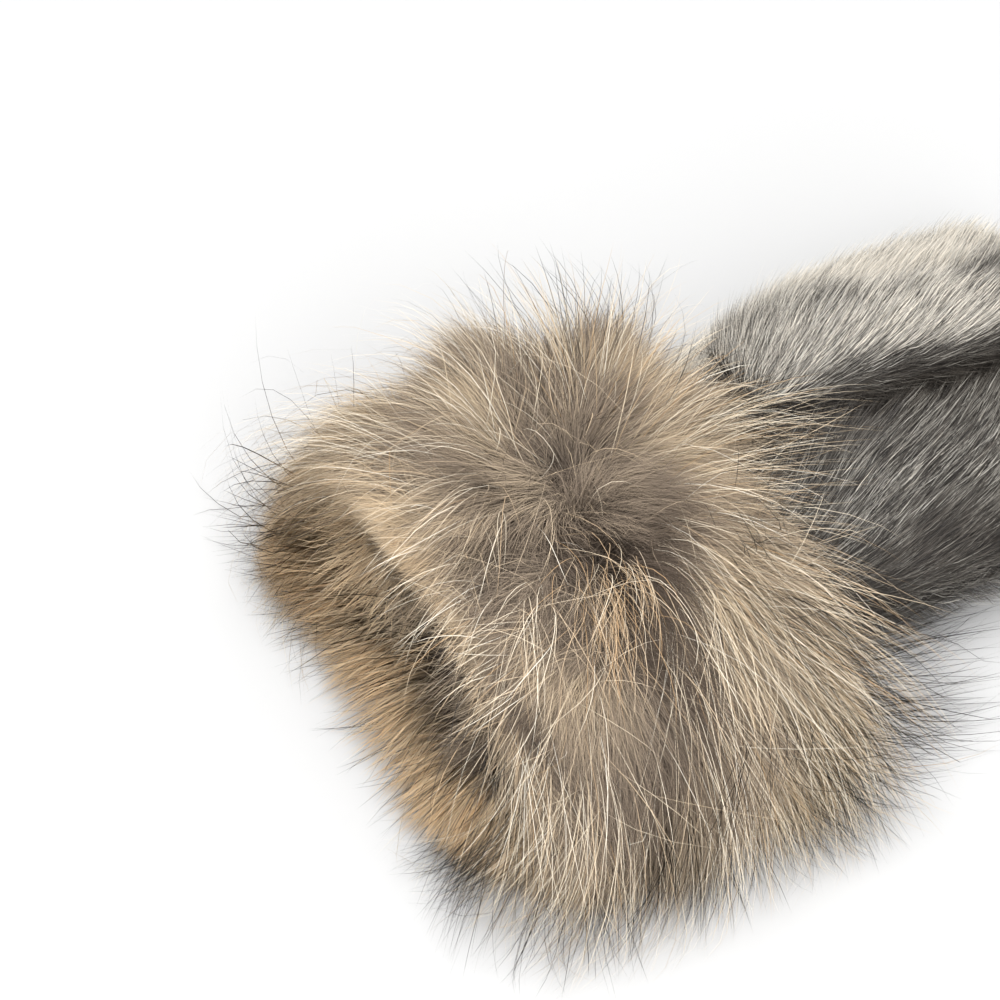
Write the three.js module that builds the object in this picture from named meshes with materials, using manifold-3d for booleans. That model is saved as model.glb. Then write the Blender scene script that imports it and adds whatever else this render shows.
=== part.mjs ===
// A left-hand fur mitten, lying palm up as it is put down on a table: a short-haired
// hand of a back panel and a palm panel, a thumb set into the palm, and a deep fur cuff.
// Millimetres, +Z up. +X runs from the cuff to the fingertips and the thumb's side is +Y.
// The origin is on the flat underside of the back panel, where the hand rests.
import * as THREE from "three";
import { mergeVertices } from "three/addons/utils/BufferGeometryUtils.js";
import Module from "manifold-3d";

// The hand, from the wrist seam to the fingertips. Widths and heights take in the short pile.
const HAND_LENGTH = 205;
const HAND_WIDTH = 162;
const HAND_HEIGHT = 66;
const HAND_WALL = 7; // skin and standing pile
const REST_POINT = 105; // from the wrist seam to the origin

// Where the palm panel is sewn to the back panel, as a share of the hand's height.
const SEAM_LEVEL = 0.48;
const SEAM_GAP = 0.4; // between pieces that are sewn together

// The thumb, measured from the wrist seam like the hand.
const THUMB_LENGTH = 158;
const THUMB_WIDTH = 58;
const THUMB_HEIGHT = 46;
const THUMB_WALL = 6;
const THUMB_ROOT = 70; // sewn into the palm up to here, and free from here on
const LEAST_ACROSS = 1; // where a hollow closes
const THUMB_CLEARANCE = 0.5; // round the free thumb, in the dent that it presses into the palm

// The cuff: a backing tube that carries on the wrist's hollow, with deep fur all round it.
const CUFF_LENGTH = 115;
const MOUTH_WIDTH = 128; // the hollow at the arm's end
const MOUTH_HEIGHT = 64;
const CUFF_FLOOR = 12; // fur pressed flat below the hollow
const FUR_CORE = 34; // dense underfur round the middle of the tube, at its sides
const FUR_EDGE = 11; // and at its two ends
const TOP_SHARE = 0.62; // fur on top lies flatter than fur at the sides

// The locks that stand out of the underfur and part along the middle of the cuff.
const LOCK_WIDTH = 46;
const LOCK_DEPTH = 22;
const LOCK_RISE = 40; // how far a lock stands out beside the parting
const END_RISE = 26; // and at the cuff's two ends
const ARM_REACH = 38; // how far the last row runs past the cuff towards the arm, at its sides
const BROW_REACH = 8; // and over the opening, which it leaves open to the view
const HAND_REACH = 54; // and over the hand
const PARTING_REACH = 28; // how far the rows beside the parting run on top
const SIDE_REACH = 6; // and at the sides, where the parting closes
const LOCK_SAG = 14; // how far a tip sinks below the way that its lock sets out
const LOCK_SINK = 8; // root depth inside the underfur
const KNEE_RISE = 0.75; // where a lock bends: this share of its rise
const KNEE_REACH = 0.35; // and this share of its reach
const LOWEST_ROOT = -0.6; // sine of the lowest angle that a lock grows at, but for the mouth's row
const ROW_SPREAD = 0.92; // share of the cuff's length that the rows' roots take up
const LOCK_ROWS = 6;
const LOCKS_ROUND = 16;

// Shares of HAND_LENGTH, HAND_WIDTH and HAND_HEIGHT; floor is the underside's height and
// shift the sideways place of the section's middle.
const HAND_SECTIONS = [
  { at: 0.0, width: 0.764, height: 0.96, floor: 0.09, shift: 0.0 },
  { at: 0.12, width: 0.827, height: 0.98, floor: 0.03, shift: 0.006 },
  { at: 0.28, width: 0.938, height: 1.0, floor: 0.0, shift: 0.019 },
  { at: 0.46, width: 0.997, height: 1.0, floor: 0.0, shift: 0.026 },
  { at: 0.64, width: 0.985, height: 0.95, floor: 0.0, shift: 0.029 },
  { at: 0.78, width: 0.932, height: 0.87, floor: 0.0, shift: 0.04 },
  { at: 0.88, width: 0.846, height: 0.74, floor: 0.03, shift: 0.059 },
  { at: 0.95, width: 0.648, height: 0.56, floor: 0.09, shift: 0.059 },
  { at: 0.985, width: 0.38, height: 0.36, floor: 0.17, shift: 0.05 },
  { at: 1.0, width: 0.13, height: 0.12, floor: 0.28, shift: 0.046 },
];

// Shares of THUMB_LENGTH, THUMB_WIDTH and THUMB_HEIGHT; side is a share of HAND_WIDTH and
// level, the height of the section's middle, of HAND_HEIGHT.
const THUMB_SECTIONS = [
  { at: 0.14, side: 0.16, level: 0.58, width: 0.84, height: 0.86 },
  { at: 0.3, side: 0.212, level: 0.86, width: 0.98, height: 0.98 },
  { at: 0.46, side: 0.186, level: 1.02, width: 0.96, height: 0.96 },
  { at: 0.62, side: 0.137, level: 1.07, width: 0.87, height: 0.87 },
  { at: 0.78, side: 0.094, level: 1.08, width: 0.74, height: 0.75 },
  { at: 0.9, side: 0.066, level: 1.06, width: 0.57, height: 0.6 },
  { at: 0.97, side: 0.054, level: 1.04, width: 0.38, height: 0.42 },
  { at: 1.0, side: 0.05, level: 1.03, width: 0.14, height: 0.16 },
];

// A lock from its root to its tip: how wide and deep it is, as shares of its full size.
const LOCK_SECTIONS = [
  { along: 0.0, size: 0.8 },
  { along: 0.4, size: 1.0 },
  { along: 0.76, size: 0.6 },
];
const TIP_SIZE = 0.12;
const PROBE_ANGLE = 0.05; // to either side of a root, to find the way out of the surface
const LEAST_LIFT = 0.3; // upward share of the way that a lock faces, so that one below lies face up

const HAND_SIDES = 32;
const HAND_STEPS = 16;
const HOLLOW_SIDES = 20;
const HOLLOW_STEPS = 10;
const THUMB_SIDES = 16;
const THUMB_STEPS = 10;
const CUFF_SIDES = 32;
const CUFF_STEPS = 7;
const LOCK_SIDES = 6;

// Round upper half, fuller lower half, and what comes this near the underside lies flat on it.
const WIDEST_LEVEL = 0.45;
const UPPER_FULLNESS = 0.94;
const LOWER_FULLNESS = 0.74;
const FLAT_BAND = 0.07;

const WRIST_X = -REST_POINT;
const MOUTH_X = WRIST_X - SEAM_GAP - CUFF_LENGTH;
const CUFF_MIDDLE_X = (MOUTH_X + WRIST_X - SEAM_GAP) / 2;

const library = await Module();
library.setup();

function solidOf(geometry) {
  const bare = geometry.clone();
  bare.deleteAttribute("normal");
  bare.deleteAttribute("uv");
  const merged = mergeVertices(bare, 1e-4);
  return new library.Manifold(
    new library.Mesh({
      numProp: 3,
      vertProperties: merged.attributes.position.array,
      triVerts: new Uint32Array(merged.index.array),
    }),
  );
}

function meshOf(solid, name, material) {
  const made = solid.getMesh();
  const geometry = new THREE.BufferGeometry();
  geometry.setAttribute("position", new THREE.BufferAttribute(made.vertProperties, 3));
  geometry.setIndex(new THREE.BufferAttribute(made.triVerts, 1));
  const mesh = new THREE.Mesh(geometry.toNonIndexed(), material);
  mesh.geometry.computeVertexNormals();
  mesh.name = name;
  return mesh;
}

function largestBodies(solid, count) {
  return solid
    .decompose()
    .sort((a, b) => b.volume() - a.volume())
    .slice(0, count);
}

// A smooth curve through one column of a table, read at a share of its way.
function columnAt(table, column, at) {
  const last = table.length - 2;
  const found = table.findIndex((row, i) => i > 0 && at <= row.at) - 1;
  const i = found < 0 ? last : found;
  const [a, b] = [table[i], table[i + 1]];
  const before = table[Math.max(i - 1, 0)];
  const after = table[Math.min(i + 2, table.length - 1)];
  const step = b.at - a.at;
  const t = THREE.MathUtils.clamp((at - a.at) / step, 0, 1);
  const slopeIn = ((b[column] - before[column]) / (b.at - before.at)) * step;
  const slopeOut = ((after[column] - a[column]) / (after.at - a.at)) * step;
  const rise = b[column] - a[column];
  const square = 3 * rise - 2 * slopeIn - slopeOut;
  const cube = slopeIn + slopeOut - 2 * rise;
  return a[column] + t * (slopeIn + t * (square + t * cube));
}

const signedPower = (value, power) => Math.sign(value) * Math.abs(value) ** power;

// A point of a section that lies on a surface: {width, height, floor, side}, angle from +Y.
function sectionPoint(section, angle) {
  const { width, height, floor, side = 0 } = section;
  const up = Math.sin(angle);
  const fullness = up > 0 ? UPPER_FULLNESS : LOWER_FULLNESS;
  const half = up > 0 ? height * (1 - WIDEST_LEVEL) : height * WIDEST_LEVEL;
  const y = side + (width / 2) * signedPower(Math.cos(angle), fullness);
  const z = floor + height * WIDEST_LEVEL + half * signedPower(up, fullness);
  return { y, z: z < floor + FLAT_BAND * height ? floor : z };
}

function sectionRing(x, section, sides) {
  return Array.from({ length: sides }, (_, i) => {
    const { y, z } = sectionPoint(section, (2 * Math.PI * i) / sides);
    return new THREE.Vector3(x, y, z);
  });
}

// A closed body through rings of the same number of points, which run along their way anticlockwise.
function loft(rings) {
  const sides = rings[0].length;
  const points = rings.flat();
  const faces = [];
  for (let r = 0; r + 1 < rings.length; r++) {
    for (let i = 0; i < sides; i++) {
      const [a, b] = [r * sides + i, r * sides + ((i + 1) % sides)];
      faces.push(a, b, b + sides, a, b + sides, a + sides);
    }
  }
  const middle = (ring) => ring.reduce((sum, p) => sum.add(p), new THREE.Vector3()).divideScalar(sides);
  const end = (rings.length - 1) * sides;
  points.push(middle(rings[0]), middle(rings.at(-1)));
  for (let i = 0; i < sides; i++) {
    const next = (i + 1) % sides;
    faces.push(points.length - 2, next, i);
    faces.push(points.length - 1, end + i, end + next);
  }
  const geometry = new THREE.BufferGeometry().setFromPoints(points);
  geometry.setIndex(faces);
  return solidOf(geometry);
}

function handSection(at, inset = 0) {
  const height = columnAt(HAND_SECTIONS, "height", at) * HAND_HEIGHT;
  return {
    width: Math.max(columnAt(HAND_SECTIONS, "width", at) * HAND_WIDTH - 2 * inset, LEAST_ACROSS),
    height: Math.max(height - 2 * inset, LEAST_ACROSS),
    floor: Math.max(columnAt(HAND_SECTIONS, "floor", at), 0) * HAND_HEIGHT + Math.min(inset, height / 2),
    side: columnAt(HAND_SECTIONS, "shift", at) * HAND_WIDTH,
  };
}

// Steps crowd towards the tip, where a body closes.
const easedTowardsTip = (share) => Math.sin((share * Math.PI) / 2);

function handBody(inset, sides, steps) {
  const wrist = inset > 0 ? -inset : 0; // a hollow runs out through the wrist
  const reach = HAND_LENGTH - inset;
  const rings = [];
  for (let i = 0; i <= steps; i++) {
    const along = wrist + (reach - wrist) * easedTowardsTip(i / steps);
    const at = THREE.MathUtils.clamp(along / reach, 0, 1);
    rings.push(sectionRing(WRIST_X + along, handSection(at, inset), sides));
  }
  return loft(rings);
}

// The thumb from a share of its length on; the part that is sewn in starts at the first section.
function thumbBody(inset, from = THUMB_SECTIONS[0].at) {
  const first = from + Math.min(inset, 0) / THUMB_LENGTH;
  const last = 1 - inset / THUMB_LENGTH;
  const rings = [];
  for (let i = 0; i <= THUMB_STEPS; i++) {
    const at = first + (last - first) * easedTowardsTip(i / THUMB_STEPS);
    const atTip = first + ((at - first) * (1 - first)) / (last - first);
    const fullWidth = columnAt(THUMB_SECTIONS, "width", atTip) * THUMB_WIDTH;
    const fullHeight = columnAt(THUMB_SECTIONS, "height", atTip) * THUMB_HEIGHT;
    const width = Math.max(fullWidth - 2 * inset, LEAST_ACROSS);
    const height = Math.max(fullHeight - 2 * inset, LEAST_ACROSS);
    const side = columnAt(THUMB_SECTIONS, "side", atTip) * HAND_WIDTH;
    const level = columnAt(THUMB_SECTIONS, "level", atTip) * HAND_HEIGHT;
    const ring = [];
    for (let k = 0; k < THUMB_SIDES; k++) {
      const angle = (2 * Math.PI * k) / THUMB_SIDES;
      const y = side + (width / 2) * Math.cos(angle);
      const z = level + (height / 2) * Math.sin(angle);
      ring.push(new THREE.Vector3(WRIST_X + at * THUMB_LENGTH, y, z));
    }
    rings.push(ring);
  }
  return loft(rings);
}

const freeThumb = (inset) => thumbBody(inset, THUMB_ROOT / THUMB_LENGTH);

// A thin curved slab that parts the palm panel from the back panel along their seam.
function seamCut() {
  const rings = [];
  for (let i = 0; i <= HAND_STEPS; i++) {
    const at = easedTowardsTip(i / HAND_STEPS);
    const { floor, height } = handSection(at);
    const level = floor + height * SEAM_LEVEL;
    const overrun = i === 0 ? -HAND_WALL : i === HAND_STEPS ? HAND_WALL : 0;
    const corners = [
      [HAND_WIDTH, -SEAM_GAP / 2],
      [HAND_WIDTH, SEAM_GAP / 2],
      [-HAND_WIDTH, SEAM_GAP / 2],
      [-HAND_WIDTH, -SEAM_GAP / 2],
    ];
    const x = WRIST_X + HAND_LENGTH * at + overrun;
    rings.push(corners.map(([y, up]) => new THREE.Vector3(x, y, level + up)));
  }
  return loft(rings);
}

// The hand's shell, dented by the free thumb and parted at the seam, with the thumb's hollow
// let into the palm.
function handPanels() {
  const hollow = handBody(HAND_WALL, HOLLOW_SIDES, HOLLOW_STEPS);
  const shell = handBody(0, HAND_SIDES, HAND_STEPS)
    .subtract(freeThumb(-THUMB_CLEARANCE))
    .subtract(hollow.subtract(freeThumb(-THUMB_CLEARANCE - HAND_WALL)))
    .subtract(seamCut());
  const heightOf = (solid) => solid.boundingBox().max[2];
  const [back, palm] = largestBodies(shell, 2).sort((a, b) => heightOf(a) - heightOf(b));
  return { back, palm: palm.subtract(thumbBody(THUMB_WALL)) };
}

// The thumb's root stops at the palm that it is sewn to, and the rest is a closed tube.
function thumbSleeve() {
  const palm = handBody(-THUMB_CLEARANCE, HAND_SIDES, HAND_STEPS).subtract(freeThumb(0));
  return thumbBody(0).subtract(thumbBody(THUMB_WALL)).subtract(palm);
}

// The cuff's section at a place from -1, the mouth, to 1, the wrist, this far outside its hollow.
function cuffSection(place, offset) {
  const share = (place + 1) / 2;
  const wrist = handSection(0, HAND_WALL);
  const hollowFloor = THREE.MathUtils.lerp(CUFF_FLOOR, wrist.floor, share);
  const height = THREE.MathUtils.lerp(MOUTH_HEIGHT, wrist.height, share);
  const floor = Math.max(hollowFloor - offset, 0);
  return {
    width: THREE.MathUtils.lerp(MOUTH_WIDTH, wrist.width, share) + 2 * offset,
    floor,
    height: hollowFloor + height + offset * TOP_SHARE - floor,
  };
}

const furDepth = (place) => FUR_EDGE + (FUR_CORE - FUR_EDGE) * Math.sqrt(Math.max(1 - place * place, 0));

const cuffX = (place) => CUFF_MIDDLE_X + (place * CUFF_LENGTH) / 2;

// The cuff's hollow, run on past the wrist seam, and past the mouth by a share of the length.
function cuffHollow() {
  const places = [-1 - SEAM_GAP / CUFF_LENGTH, 1 + SEAM_GAP / CUFF_LENGTH];
  return loft(places.map((place) => sectionRing(cuffX(place), cuffSection(place, 0), CUFF_SIDES)));
}

// The underfur on its backing tube, domed from edge to edge.
function furCore() {
  const rings = [];
  for (let i = 0; i <= CUFF_STEPS; i++) {
    const place = -Math.cos((Math.PI * i) / CUFF_STEPS);
    rings.push(sectionRing(cuffX(place), cuffSection(place, furDepth(place)), CUFF_SIDES));
  }
  return loft(rings);
}

// One lock: a flat horn that curves out of the underfur and leans to the nearer end of the cuff.
function lock(place, angle) {
  const section = cuffSection(place, furDepth(place) - LOCK_SINK);
  const at = sectionPoint(section, angle);
  const before = sectionPoint(section, angle - PROBE_ANGLE);
  const after = sectionPoint(section, angle + PROBE_ANGLE);
  const out = new THREE.Vector3(0, after.z - before.z, before.y - after.y).normalize();
  out.z = Math.max(out.z, 0); // what would point into the table runs out over it
  const rise = THREE.MathUtils.lerp(LOCK_RISE, END_RISE, place * place);
  const armReach = THREE.MathUtils.lerp(ARM_REACH, BROW_REACH, out.z);
  const farReach = place < 0 ? armReach : HAND_REACH;
  const nearReach = THREE.MathUtils.lerp(SIDE_REACH, PARTING_REACH, out.z);
  const reach = Math.sign(place) * THREE.MathUtils.lerp(nearReach, farReach, Math.abs(place));
  const along = new THREE.Vector3(reach, 0, 0);
  const flattening = THREE.MathUtils.lerp(1, TOP_SHARE, out.z);
  const stand = out.clone().multiplyScalar((rise + LOCK_SINK) * flattening);
  const root = new THREE.Vector3(cuffX(place * ROW_SPREAD), at.y, at.z);
  const knee = root.clone().addScaledVector(stand, KNEE_RISE).addScaledVector(along, KNEE_REACH);
  const tip = root.clone().add(stand).add(along);
  tip.z -= LOCK_SAG;
  const path = new THREE.QuadraticBezierCurve3(root, knee, tip);
  const face = new THREE.Vector3(0, out.y, Math.max(out.z, LEAST_LIFT));
  const ringAt = (share, size) => {
    const centre = path.getPoint(share);
    centre.z = Math.max(centre.z, (LOCK_DEPTH / 2) * size);
    const way = path.getTangent(share);
    const across = new THREE.Vector3().crossVectors(way, face).normalize();
    const thick = new THREE.Vector3().crossVectors(across, way);
    return Array.from({ length: LOCK_SIDES }, (_, k) => {
      const turn = (-2 * Math.PI * k) / LOCK_SIDES;
      const point = centre
        .clone()
        .addScaledVector(across, (LOCK_WIDTH / 2) * size * Math.cos(turn))
        .addScaledVector(thick, (LOCK_DEPTH / 2) * size * Math.sin(turn));
      point.z = Math.max(point.z, 0);
      return point;
    });
  };
  const rings = LOCK_SECTIONS.map(({ along: share, size }) => ringAt(share, size));
  return loft([...rings, ringAt(1, TIP_SIZE)]);
}

// Rows of locks from the mouth to the wrist, each turned half a step from the last. Only the
// mouth's row goes on below, where it makes the lip that lies in front of the opening.
function furLocks() {
  const made = [];
  for (let row = 0; row < LOCK_ROWS; row++) {
    const place = (2 * row) / (LOCK_ROWS - 1) - 1;
    for (let i = 0; i < LOCKS_ROUND; i++) {
      const angle = (2 * Math.PI * (i + (row % 2) / 2)) / LOCKS_ROUND;
      if (Math.sin(angle) > LOWEST_ROOT || row === 0) made.push(lock(place, angle));
    }
  }
  return made;
}

function furCuff() {
  const fur = library.Manifold.union([furCore(), ...furLocks()])
    .subtract(cuffHollow())
    .subtract(handBody(-SEAM_GAP, HAND_SIDES, HAND_STEPS))
    .subtract(thumbBody(-SEAM_GAP));
  return largestBodies(fur, 1)[0]; // with any pocket between its locks filled
}

const handFur = new THREE.MeshStandardMaterial({ color: 0x8f8d88, roughness: 0.75, metalness: 0 });
const thumbFur = new THREE.MeshStandardMaterial({ color: 0xa5a29b, roughness: 0.75, metalness: 0 });
const cuffFur = new THREE.MeshStandardMaterial({ color: 0x9a8468, roughness: 0.85, metalness: 0 });

const mitten = new THREE.Group();
const { back, palm } = handPanels();
mitten.add(meshOf(back, "back_panel", handFur));
mitten.add(meshOf(palm, "palm_panel", handFur));
mitten.add(meshOf(thumbSleeve(), "thumb", thumbFur));
mitten.add(meshOf(furCuff(), "fur_cuff", cuffFur));

export default mitten;
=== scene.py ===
# Looks for a left-hand fur mitten that lies palm up: the grey pile of its hand and thumb,
# and the underfur, lip fur and guard hairs of its deep cuff. Metres, in the part's own frame.
import math
from dataclasses import dataclass

import bpy
import numpy as np
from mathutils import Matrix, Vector
from mathutils.kdtree import KDTree


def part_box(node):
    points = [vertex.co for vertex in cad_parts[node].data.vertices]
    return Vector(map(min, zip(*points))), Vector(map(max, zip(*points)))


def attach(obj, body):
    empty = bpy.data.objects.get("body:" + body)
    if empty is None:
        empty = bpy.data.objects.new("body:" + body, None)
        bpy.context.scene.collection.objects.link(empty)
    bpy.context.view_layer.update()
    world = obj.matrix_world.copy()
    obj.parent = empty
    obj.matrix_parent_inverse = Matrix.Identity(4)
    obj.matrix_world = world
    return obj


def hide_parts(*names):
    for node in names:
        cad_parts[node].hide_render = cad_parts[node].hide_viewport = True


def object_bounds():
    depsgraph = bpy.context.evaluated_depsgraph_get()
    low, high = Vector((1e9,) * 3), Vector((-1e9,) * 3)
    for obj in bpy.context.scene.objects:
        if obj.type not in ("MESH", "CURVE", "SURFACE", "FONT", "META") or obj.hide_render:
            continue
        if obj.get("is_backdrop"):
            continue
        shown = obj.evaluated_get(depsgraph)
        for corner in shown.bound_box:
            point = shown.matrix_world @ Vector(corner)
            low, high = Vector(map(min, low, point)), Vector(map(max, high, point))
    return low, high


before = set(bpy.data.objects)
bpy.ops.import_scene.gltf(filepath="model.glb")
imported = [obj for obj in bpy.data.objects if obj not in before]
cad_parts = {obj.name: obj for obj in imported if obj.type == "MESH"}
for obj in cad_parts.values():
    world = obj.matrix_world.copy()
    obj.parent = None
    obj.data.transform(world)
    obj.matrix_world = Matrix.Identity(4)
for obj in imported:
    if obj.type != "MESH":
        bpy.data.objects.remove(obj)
cad_low, cad_high = (np.array(corner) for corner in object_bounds())
cuff_low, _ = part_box("fur_cuff")
hand_low, hand_high = (np.array(corner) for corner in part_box("palm_panel"))

# Sizes of the cuff's hollow and of the underfur round it.
WRIST_X = hand_low[0]
LIP = 0.0348  # how far the cuff's fur runs past its mouth
MOUTH_X = cuff_low[0] + LIP
MOUTH_WIDTH, WRIST_WIDTH = 0.128, 0.110
MOUTH_HEIGHT, WRIST_HEIGHT = 0.064, 0.049
HOLLOW_FLOOR = 0.012
SKIN_EDGE, SKIN_CORE = 0.007, 0.020  # depth of the felted underfur at the ends and the middle
TOP_SHARE = 0.62  # fur on top lies flatter than fur at the sides
WIDEST_LEVEL = 0.45
UPPER_FULLNESS, LOWER_FULLNESS = 0.94, 0.74  # round above, fuller below
LOWEST_ROOT = -0.42  # sine of the lowest angle that hair grows at, but for the mouth's edge
WHOLE_CUFF = (-1.0, 0.98)  # the stretch that hair grows on, from the mouth to the wrist

# The parting that the cuff's hair turns away from, over the crown and down the near side.
PARTING_START = np.array([-0.146, 0.034, 0.092])
PARTING_END = np.array([-0.170, -0.055, 0.080])
HAND_SIDE_WAY = np.array([0.6, -0.8, 0])
LAY_TURN_HAND, LAY_TURN_ARM = -0.3, 0.12  # turn of the lay, seen from above, on either side of it
NEAR_WAY = np.array([-0.42, -0.9, 0.0])  # down the near side, where the lay turns more and more
LAY_SEED = 11

# Hollows by the parting, where the hair is short and turns outwards: place in plan, and radius.
HOLLOWS = [
    (-0.186, -0.002, 0.013),
    (-0.166, -0.022, 0.011),
    (-0.148, -0.018, 0.010),
    (-0.150, 0.022, 0.010),
]

# How far hair may stand out of the solids' box, kept a little inside what is allowed.
PROUD = 0.03 * (cad_high - cad_low) + 0.009

# The plan of the dense fur: how far it runs from its middle to the arm, the hand and the sides.
PLAN_MIDDLE_X = -0.155
PLAN_ARM_LOW, PLAN_ARM_HIGH = 0.110, 0.074  # near the table, and over the opening
PLAN_FAR_MORE = 0.022  # further to the arm on the thumb's side
PLAN_HAND, PLAN_SIDE = 0.108, 0.136
PLAN_THUMB_MORE = 0.024  # further to the hand by the thumb's root
PLAN_POWER = 2.2
PLAN_UNEVEN = 0.010  # the fur's edge at the mouth comes and goes by this much

# How the cuff's hair varies, as shares of its length, and in radians where it leans.
SHORT_ON_TOP = 0.86
SHORT_IN_HOLLOWS = 0.45
LONG_AT_SIDES = 0.24
LONG_AT_BROW = 0.2  # over the far end of the mouth
SAG_AT_SIDES, SAG_ON_TOP = 0.26, 0.06
LEAN_SPREAD, BEND_SPREAD = 0.16, 0.18
TUFT_LEAN = 0.42
LOOSE_SHARE = 0.2  # of the hairs, which stray further than the rest
LOOSE_STRAY = 2.5
LOCK_TONE_SPREAD = 0.045
LOCK_TIP_WIDTH = 0.3  # as a share of its width at the roots

# Patches of the cuff's tone, partly its colour and partly painted light and shade, such as the dark
# ones by the hollows and the light ones towards the hand: place in plan, radius, and change of
# tone.
PATCHES = [
    (-0.152, -0.005, 0.030, -0.03),
    (-0.190, -0.008, 0.016, -0.14),
    (-0.168, -0.027, 0.014, -0.06),
    (-0.178, -0.075, 0.026, -0.16),
    (-0.160, -0.042, 0.016, -0.25),
    (-0.230, 0.060, 0.030, 0.10),
    (-0.195, 0.066, 0.030, -0.06),
    (-0.130, 0.075, 0.038, -0.17),
    (-0.088, 0.000, 0.032, 0.14),
    (-0.108, -0.040, 0.020, -0.03),
    (-0.092, -0.090, 0.030, 0.14),
    (-0.150, -0.125, 0.022, 0.10),
]

# Black-tipped locks: place in plan, and the way that each lock points.
BLACK_LOCKS = [
    (-0.217, 0.066, -0.85, 0.50),
    (-0.205, -0.074, -0.70, -0.75),
    (-0.170, -0.084, -0.25, -1.00),
    (-0.128, -0.084, 0.20, -1.00),
    (-0.108, -0.074, 0.65, -0.80),
    (-0.103, -0.050, 0.95, -0.45),
]
BLACK_LOCK_LEVEL = 0.028  # height of their roots

# Black-tipped tufts of single hairs, in degrees round the cuff's middle from +X.
BLACK_TUFTS = [142, 223, 237, 274, 293, 309, 322, 345]
TUFT_SPREAD = 6
TUFT_STRAY = 12  # a few hairs stand this much further from their tuft

PARTING_CLEAR = 0.045  # guard hairs thin out this near to the parting
GOLDEN_SPOT = (-0.166, -0.028, 0.009)  # place in plan, and radius

HAIR_MAP = "OFBake"  # across is a hair's tone, up is the way from its root to its tip
TONE_WIDTH = 0.012  # across the map, between the two edges of a hair


def lerp(a, b, share):
    return a + (b - a) * share


def smooth_step(low, high, value):
    share = np.clip((value - low) / (high - low), 0, 1)
    return share * share * (3 - 2 * share)


def unit(vectors):
    return vectors / np.maximum(np.linalg.norm(vectors, axis=-1, keepdims=True), 1e-9)


def ripple(points, length, seed):
    """A smooth value from about -1 to 1 that changes over that length."""
    waves = np.random.default_rng(seed)
    ways = unit(waves.normal(size=(6, 3))) * (2 * math.pi / length)
    ways = ways * waves.uniform(0.6, 1.5, (6, 1))
    return np.sin(points @ ways.T + waves.uniform(0, 2 * math.pi, 6)).sum(axis=1) / 3


def ripple_ways(points, length, seed):
    return np.stack([ripple(points, length, seed + i) for i in range(3)], axis=1)


def linear(red, green, blue):
    """An sRGB colour from 0 to 255 as Blender's linear one."""
    shares = [c / 255 for c in (red, green, blue)]
    return [s / 12.92 if s <= 0.04045 else ((s + 0.055) / 1.055) ** 2.4 for s in shares] + [1.0]


# Node helpers
def add_node(tree, kind, **values):
    node = tree.nodes.new(kind)
    for key, value in values.items():
        setattr(node, key, value)
    return node


def fill_ramp(node, stops):
    ramp = node.color_ramp
    while len(ramp.elements) > 1:
        ramp.elements.remove(ramp.elements[-1])
    for i, (place, colour) in enumerate(stops):
        element = ramp.elements[0] if i == 0 else ramp.elements.new(place)
        element.position = place
        element.color = colour
    return node


def hair_colour_group():
    """The colour of a hair: its tone, times the change from its root to its tip."""
    group = bpy.data.node_groups.new("Hair colour", "ShaderNodeTree")
    for name in ("Tone colour", "Along"):
        group.interface.new_socket(name, in_out="INPUT", socket_type="NodeSocketColor")
    group.interface.new_socket("Colour", in_out="OUTPUT", socket_type="NodeSocketColor")
    start = add_node(group, "NodeGroupInput")
    end = add_node(group, "NodeGroupOutput")
    mix = add_node(group, "ShaderNodeMix", data_type="RGBA", blend_type="MULTIPLY")
    mix.inputs["Factor"].default_value = 1.0
    group.links.new(start.outputs["Tone colour"], mix.inputs["A"])
    group.links.new(start.outputs["Along"], mix.inputs["B"])
    group.links.new(mix.outputs["Result"], end.inputs["Colour"])
    return group


HAIR_COLOUR = hair_colour_group()


def fur_material(name, tones, along, roughness, sheen=0.0):
    """A hair material: tones are stops across the map, and along, stops from root to tip."""
    material = bpy.data.materials.new(name)
    material.use_nodes = True
    tree = material.node_tree
    shader = tree.nodes["Principled BSDF"]
    where = add_node(tree, "ShaderNodeUVMap", uv_map=HAIR_MAP)
    split = add_node(tree, "ShaderNodeSeparateXYZ")
    across = fill_ramp(add_node(tree, "ShaderNodeValToRGB"), tones)
    up = fill_ramp(add_node(tree, "ShaderNodeValToRGB"), along)
    colour = add_node(tree, "ShaderNodeGroup", node_tree=HAIR_COLOUR)
    tree.links.new(where.outputs["UV"], split.inputs["Vector"])
    tree.links.new(split.outputs["X"], across.inputs["Fac"])
    tree.links.new(split.outputs["Y"], up.inputs["Fac"])
    tree.links.new(across.outputs["Color"], colour.inputs["Tone colour"])
    tree.links.new(up.outputs["Color"], colour.inputs["Along"])
    tree.links.new(colour.outputs["Colour"], shader.inputs["Base Color"])
    shader.inputs["Roughness"].default_value = roughness
    shader.inputs["Specular IOR Level"].default_value = 0.35
    shader.inputs["Sheen Weight"].default_value = sheen
    return material


def grey(level):
    return [level, level, level, 1.0]


UNDERFUR_TONES = [
    (0.0, linear(74, 62, 52)),
    (0.22, linear(132, 117, 101)),
    (0.45, linear(188, 169, 142)),
    (0.68, linear(206, 179, 143)),
    (0.86, linear(200, 161, 117)),
    (1.0, linear(228, 212, 190)),
]
# Darker towards the roots: painted shade deep in the fur.
UNDERFUR_ALONG = [(0.0, grey(0.42)), (0.35, grey(0.8)), (0.7, grey(1.0)), (1.0, grey(1.0))]
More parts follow.
